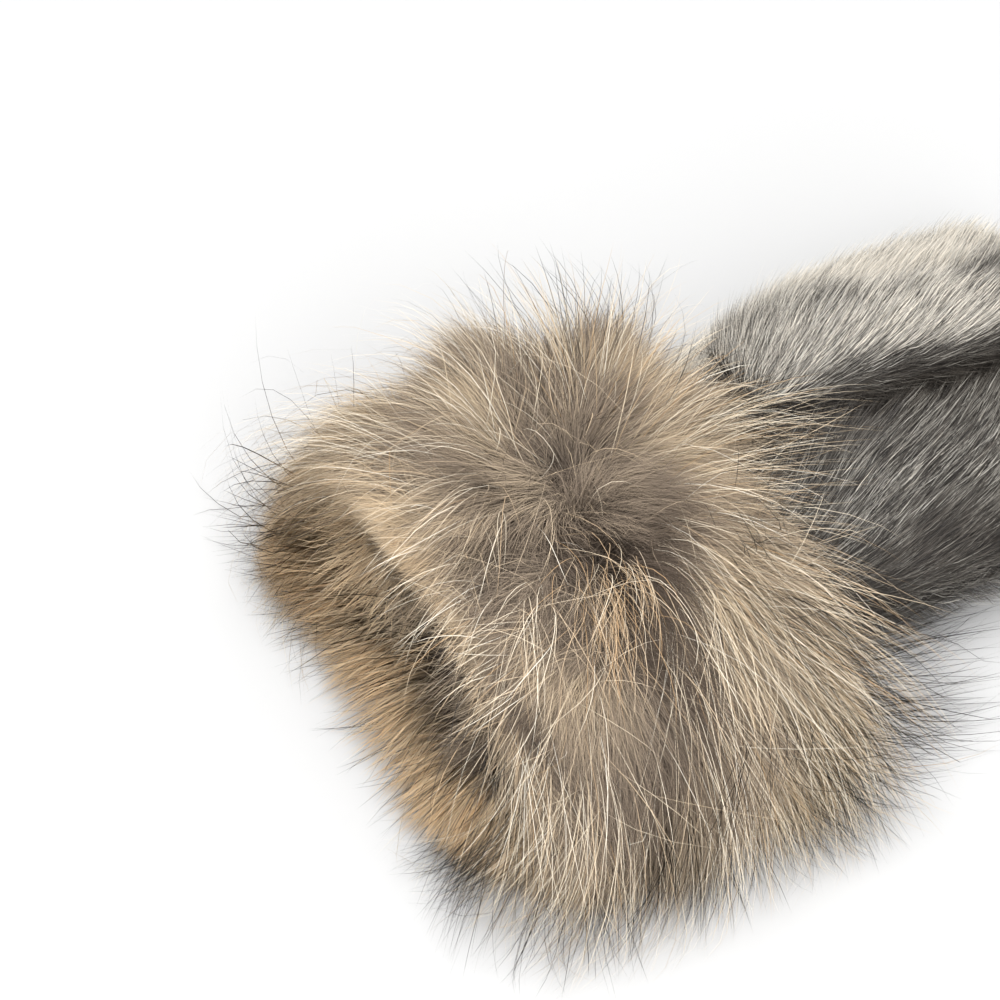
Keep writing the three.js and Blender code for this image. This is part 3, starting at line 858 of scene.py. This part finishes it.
def pile_tree():
    """Geometry nodes that grow a pile: a seeded hair at each point, leaning as it is combed."""
    tree = bpy.data.node_groups.new("Pile", "GeometryNodeTree")
    sockets = {
        "Geometry": "NodeSocketGeometry",
        "Density": "NodeSocketFloat",
        "Hair length": "NodeSocketFloat",
        "Hair width": "NodeSocketFloat",
        "Unevenness": "NodeSocketFloat",
        "Seed": "NodeSocketInt",
        "Hair": "NodeSocketObject",
        "Material": "NodeSocketMaterial",
    }
    for name, kind in sockets.items():
        tree.interface.new_socket(name, in_out="INPUT", socket_type=kind)
    tree.interface.new_socket("Geometry", in_out="OUTPUT", socket_type="NodeSocketGeometry")
    given = add_node(tree, "NodeGroupInput")
    done = add_node(tree, "NodeGroupOutput")

    def attribute(name, kind):
        node = add_node(tree, "GeometryNodeInputNamedAttribute", data_type=kind)
        node.inputs["Name"].default_value = name
        return node.outputs["Attribute"]

    def maths(operation, *values):
        node = add_node(tree, "ShaderNodeMath", operation=operation)
        for socket, value in zip(node.inputs, values):
            if isinstance(value, (int, float)):
                socket.default_value = value
            else:
                tree.links.new(value, socket)
        return node.outputs[0]

    def random_value(kind, low, high, offset):
        node = add_node(tree, "FunctionNodeRandomValue", data_type=kind)
        sockets = [s for s in node.inputs if s.enabled]
        sockets[0].default_value = low
        sockets[1].default_value = high
        tree.links.new(maths("ADD", given.outputs["Seed"], offset), node.inputs["Seed"])
        return next(s for s in node.outputs if s.enabled)

    scatter = add_node(tree, "GeometryNodeDistributePointsOnFaces", distribute_method="RANDOM")
    tree.links.new(given.outputs["Geometry"], scatter.inputs["Mesh"])
    density = maths("MULTIPLY", given.outputs["Density"], attribute("pile", "FLOAT"))
    tree.links.new(density, scatter.inputs["Density"])
    tree.links.new(given.outputs["Seed"], scatter.inputs["Seed"])

    turn = add_node(tree, "FunctionNodeAxesToRotation", primary_axis="Z", secondary_axis="X")
    tree.links.new(attribute("facing", "FLOAT_VECTOR"), turn.inputs["Primary Axis"])
    tree.links.new(attribute("lay", "FLOAT_VECTOR"), turn.inputs["Secondary Axis"])
    stray = add_node(tree, "FunctionNodeRotateRotation", rotation_space="LOCAL")
    tree.links.new(turn.outputs["Rotation"], stray.inputs["Rotation"])
    uneven = add_node(tree, "ShaderNodeVectorMath", operation="SCALE")
    tree.links.new(random_value("FLOAT_VECTOR", (-1, -1, -1), (1, 1, 1), 1), uneven.inputs[0])
    tree.links.new(given.outputs["Unevenness"], uneven.inputs["Scale"])
    tree.links.new(uneven.outputs["Vector"], stray.inputs["Rotate By"])

    size = add_node(tree, "ShaderNodeCombineXYZ")
    length = maths("MULTIPLY", given.outputs["Hair length"], random_value("FLOAT", 0.7, 1.25, 2))
    length = maths("MULTIPLY", length, attribute("growth", "FLOAT"))
    tree.links.new(length, size.inputs["X"])
    width = maths("MULTIPLY", given.outputs["Hair width"], random_value("FLOAT", 0.7, 1.4, 3))
    tree.links.new(width, size.inputs["Y"])
    rise = maths("MULTIPLY", length, random_value("FLOAT", 0.6, 1.3, 4))
    tree.links.new(rise, size.inputs["Z"])

    hair = add_node(tree, "GeometryNodeObjectInfo", transform_space="ORIGINAL")
    tree.links.new(given.outputs["Hair"], hair.inputs["Object"])
    grow = add_node(tree, "GeometryNodeInstanceOnPoints")
    tree.links.new(scatter.outputs["Points"], grow.inputs["Points"])
    tree.links.new(hair.outputs["Geometry"], grow.inputs["Instance"])
    tree.links.new(stray.outputs["Rotation"], grow.inputs["Rotation"])
    tree.links.new(size.outputs["Vector"], grow.inputs["Scale"])

    def store(geometry, name, kind, domain, value):
        node = add_node(tree, "GeometryNodeStoreNamedAttribute", data_type=kind, domain=domain)
        node.inputs["Name"].default_value = name
        tree.links.new(geometry, node.inputs["Geometry"])
        tree.links.new(value, node.inputs["Value"])
        return node.outputs["Geometry"]

    def some(share, change, offset):
        """A change of tone for that share of the hairs."""
        drawn = random_value("FLOAT", 0.0, 1.0, offset)
        chosen = maths("LESS_THAN", drawn, attribute(share, "FLOAT"))
        return maths("MULTIPLY", chosen, change)

    varied = maths("MULTIPLY", random_value("FLOAT", -1.0, 1.0, 5), attribute("variety", "FLOAT"))
    tone = maths("ADD", attribute("tone", "FLOAT"), varied)
    tone = maths("ADD", tone, some("dark_share", DARK_CHANGE, 6))
    tone = maths("ADD", tone, some("pale_share", PALE_CHANGE, 7))
    tone = maths("MINIMUM", maths("MAXIMUM", tone, 0.02), 0.97)
    grown = store(grow.outputs["Instances"], "tone", "FLOAT", "INSTANCE", tone)
    real = add_node(tree, "GeometryNodeRealizeInstances")
    tree.links.new(grown, real.inputs["Geometry"])
    both = add_node(tree, "GeometryNodeJoinGeometry")
    tree.links.new(real.outputs["Geometry"], both.inputs["Geometry"])
    tree.links.new(given.outputs["Geometry"], both.inputs["Geometry"])
    across = maths("ADD", attribute("tone", "FLOAT"), attribute("beside", "FLOAT"))
    pair = add_node(tree, "ShaderNodeCombineXYZ")
    tree.links.new(across, pair.inputs["X"])
    tree.links.new(attribute("along", "FLOAT"), pair.inputs["Y"])
    mapped = store(both.outputs["Geometry"], HAIR_MAP, "FLOAT2", "CORNER", pair.outputs["Vector"])
    paint = add_node(tree, "GeometryNodeSetMaterial")
    tree.links.new(mapped, paint.inputs["Geometry"])
    tree.links.new(given.outputs["Material"], paint.inputs["Material"])
    tree.links.new(paint.outputs["Geometry"], done.inputs["Geometry"])
    return tree


def comb(points, normals):
    """The pile lies towards the fingertips and over to the thumb's side."""
    lay = np.zeros_like(points)
    lay[:, 0] = 1.0
    lay[:, 1] = 0.42 + 0.2 * ripple(points, 0.09, 51)
    lay -= (lay * normals).sum(axis=1, keepdims=True) * normals
    return unit(lay)


def hand_tone(points, normals):
    """Pale at the far side, with painted shadow below the thumb, and dark in a stripe near the
    outer edge.
    """
    y = points[:, 1] + 0.005 * ripple(points, 0.07, 61)
    pale = smooth_step(PALE_FROM, PALE_TO, y)
    # Painted shadow of the thumb on the palm, in a band below it.
    thumb_shadow = np.exp(-(((y - THUMB_SHADOW_PLACE) / THUMB_SHADOW_WIDTH) ** 2))
    stripe = np.exp(-(((y - STRIPE_PLACE) / STRIPE_WIDTH) ** 2))
    outer = smooth_step(OUTER_FROM, OUTER_TO, y)
    tone = 0.37 + 0.58 * pale - 0.42 * thumb_shadow - 0.28 * stripe + 0.26 * outer
    return tone + 0.05 * ripple(points, 0.03, 62)


def thumb_tone(points, normals):
    """Light grey along the top, dark along the side that faces the palm: painted shade by the way
    the surface faces.
    """
    facing = normals @ np.array([0, -0.8, -0.6]) + 0.12 * ripple(points, 0.04, 71)
    return 0.68 - 0.60 * smooth_step(-0.1, 0.4, facing) + 0.05 * ripple(points, 0.03, 72)


GROW = pile_tree()
STRAND = strand_mesh()


def pile_fields(points, normals, bare, tone, seed):
    """What the pile's nodes read at each place of the skin, and where it is bare."""
    turning = 0.5 - np.abs(tone - 0.45) * 2
    return {
        "pile": np.where(bare, 0.0, 1.0),
        "growth": 1.0 + 0.2 * ripple(points, 0.02, seed),
        "facing": normals,
        "lay": comb(points, normals),
        # Bare skin, on the inner walls and where it rests on the table, is nearly black: painted
        # shade of the hollows.
        "tone": np.where(bare, 0.03, tone),
        "dark_share": np.clip(DARK_SHARE + 1.2 * turning, 0.1, 0.55),
        "pale_share": np.where(tone > 0.06, PALE_SHARE, 0.04),
        "variety": 0.34 * np.clip(tone * 2 + 0.2, 0.4, 1),
        "along": np.where(bare, 0.1, 0.3),
        "beside": np.zeros(len(points)),
    }


def grow_pile(grower, density, seed):
    """The mesh that the pile's nodes make on an object."""
    modifier = grower.modifiers.new("Pile", "NODES")
    modifier.node_group = GROW
    values = {
        "Density": density,
        "Hair length": PILE_LENGTH,
        "Hair width": PILE_WIDTH,
        "Unevenness": PILE_UNEVENNESS,
        "Seed": seed,
        "Hair": STRAND,
        "Material": PILE,
    }
    for item in GROW.interface.items_tree:
        if item.in_out == "INPUT" and item.name in values:
            modifier[item.identifier] = values[item.name]
    graph = bpy.context.evaluated_depsgraph_get()
    grown = bpy.data.meshes.new_from_object(grower.evaluated_get(graph))
    grower.modifiers.remove(modifier)
    return grown


def pile_piece(name, node, slot, tone_of, count, seed, hidden):
    """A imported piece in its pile. hidden says where its surface has none."""
    mesh = pile_base(node)
    points = read_vectors(mesh.vertices, "co")
    normals = read_vectors(mesh.vertex_normals, "vector")
    bare = hidden(points, normals)
    inset = points - normals * PILE_INSET
    inset[:, 2] = np.maximum(np.where(bare, points[:, 2], inset[:, 2]), LOWEST_BASE)
    points = np.where(bare[:, None], points, inset)
    mesh.vertices.foreach_set("co", points.astype(np.float32).ravel())
    mesh.update()
    tone = np.clip(tone_of(points, normals), 0.02, 0.95)
    fields = pile_fields(points, normals, bare, tone, seed)
    for field, values in fields.items():
        set_attribute(mesh, field, values)
    area = sum(p.area for p in mesh.polygons if not bare[p.vertices[0]])
    grower = bpy.data.objects.new(name, mesh)
    bpy.context.collection.objects.link(grower)

    grown = grow_pile(grower, count / area, seed)
    grower.data = grown
    spots = read_vectors(grown.vertices, "co")
    spots[:, 2] = np.maximum(spots[:, 2], LOWEST_PILE)
    grown.vertices.foreach_set("co", spots.astype(np.float32).ravel())
    facing = read_vectors(grown.attributes["facing"].data, "vector")
    rng = np.random.default_rng(seed)
    shading = unit(facing + 0.25 * rng.normal(size=facing.shape))
    grown.shade_smooth()
    grown.normals_split_custom_set_from_vertices(shading.astype(np.float32))
    for field in fields:
        if field in grown.attributes:
            grown.attributes.remove(grown.attributes[field])
    finish_piece(grower, slot, node)
    return grower


def inside_of_hand(points, normals):
    """The hand's inner wall, and what lies on the table."""
    from_line = points - [0, HAND_LINE_Y, HAND_LINE_Z]
    outwards = (from_line * normals * [0, 1, 1]).sum(axis=1)
    tip = points[:, 0] > hand_high[0] - CLOSED_TIP
    inner = (outwards < 0) & ~(tip & (normals[:, 0] > 0))
    return inner | (points[:, 2] < RESTING_LEVEL)


def inside_of_thumb(points, normals):
    """The thumb's inner wall, but for its closed tip."""
    low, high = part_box("thumb")
    share = np.clip((points[:, 0] - low[0]) / (high[0] - low[0]), 0, 1)
    y = lerp(THUMB_LINE_ROOT_Y, THUMB_LINE_TIP_Y, share)
    z = THUMB_LINE_LOW + THUMB_LINE_RISE * np.sin(share * 2.0)
    from_line = points - np.stack([points[:, 0], y, z], axis=1)
    outwards = (from_line * normals * [0, 1, 1]).sum(axis=1)
    return (outwards < 0) & (normals[:, 0] < 0.6)


pile_piece("palm_pile", "palm_panel", "hand_fur", hand_tone, 46000, 21, inside_of_hand)
pile_piece("back_pile", "back_panel", "hand_fur", hand_tone, 14000, 22, inside_of_hand)
pile_piece("thumb_pile", "thumb", "thumb_fur", thumb_tone, 21000, 23, inside_of_thumb)
bpy.data.objects.remove(STRAND)


# Floor, light and camera
FLOOR_HALF, FLOOR_GREY = 4.0, 0.47
OVERHEAD_POWER, SIDE_POWER = 30, 19
WORLD_STRENGTH = 0.95
CAMERA_AZIMUTH, CAMERA_ELEVATION = math.radians(-28), math.radians(57)
CAMERA_DISTANCE = 0.96
CAMERA_AIM = Vector((-0.177, 0.028, 0.068))
CAMERA_LENS, CAMERA_SENSOR = 90, 36


def plain_material(name, colour, roughness):
    material = bpy.data.materials.new(name)
    material.use_nodes = True
    shader = material.node_tree.nodes["Principled BSDF"]
    shader.inputs["Base Color"].default_value = colour
    shader.inputs["Roughness"].default_value = roughness
    return material


def floor():
    half = FLOOR_HALF
    corners = [(-half, -half, 0), (half, -half, 0), (half, half, 0), (-half, half, 0)]
    mesh = bpy.data.meshes.new("floor")
    mesh.from_pydata(corners, [], [(0, 1, 2, 3)])
    mesh.materials.append(plain_material("Pale floor", grey(FLOOR_GREY), 0.9))
    plane = bpy.data.objects.new("floor", mesh)
    bpy.context.collection.objects.link(plane)
    plane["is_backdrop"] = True


def area_light(name, place, aim, size, power):
    light = bpy.data.lights.new(name, "AREA")
    light.shape = "DISK"
    light.size = size
    light.energy = power
    lamp = bpy.data.objects.new(name, light)
    lamp.location = place
    lamp.rotation_euler = (Vector(aim) - Vector(place)).to_track_quat("-Z", "Y").to_euler()
    bpy.context.collection.objects.link(lamp)


def world_light(strength):
    world = bpy.data.worlds.new("Studio")
    world.use_nodes = True
    background = world.node_tree.nodes["Background"]
    background.inputs["Color"].default_value = grey(1.0)
    background.inputs["Strength"].default_value = strength
    bpy.context.scene.world = world


def camera():
    level = math.cos(CAMERA_ELEVATION)
    back = Vector((
        math.sin(CAMERA_AZIMUTH) * level,
        -math.cos(CAMERA_AZIMUTH) * level,
        math.sin(CAMERA_ELEVATION),
    ))
    lens = bpy.data.cameras.new("camera")
    lens.lens = CAMERA_LENS
    lens.sensor_width = CAMERA_SENSOR
    lens.clip_start = 0.05
    eye = bpy.data.objects.new("camera", lens)
    eye.location = CAMERA_AIM + back * CAMERA_DISTANCE
    eye.rotation_euler = (-back).to_track_quat("-Z", "Y").to_euler()
    bpy.context.collection.objects.link(eye)
    bpy.context.scene.camera = eye


floor()
middle = (cad_low + cad_high) / 2
area_light("overhead", (middle[0] - 0.1, middle[1] + 0.25, 1.6), middle, 1.5, OVERHEAD_POWER)
area_light("side", (middle[0] - 0.3, middle[1] - 1.2, 0.9), middle, 1.4, SIDE_POWER)
world_light(WORLD_STRENGTH)
camera()
bpy.context.scene.view_settings.view_transform = "Standard"
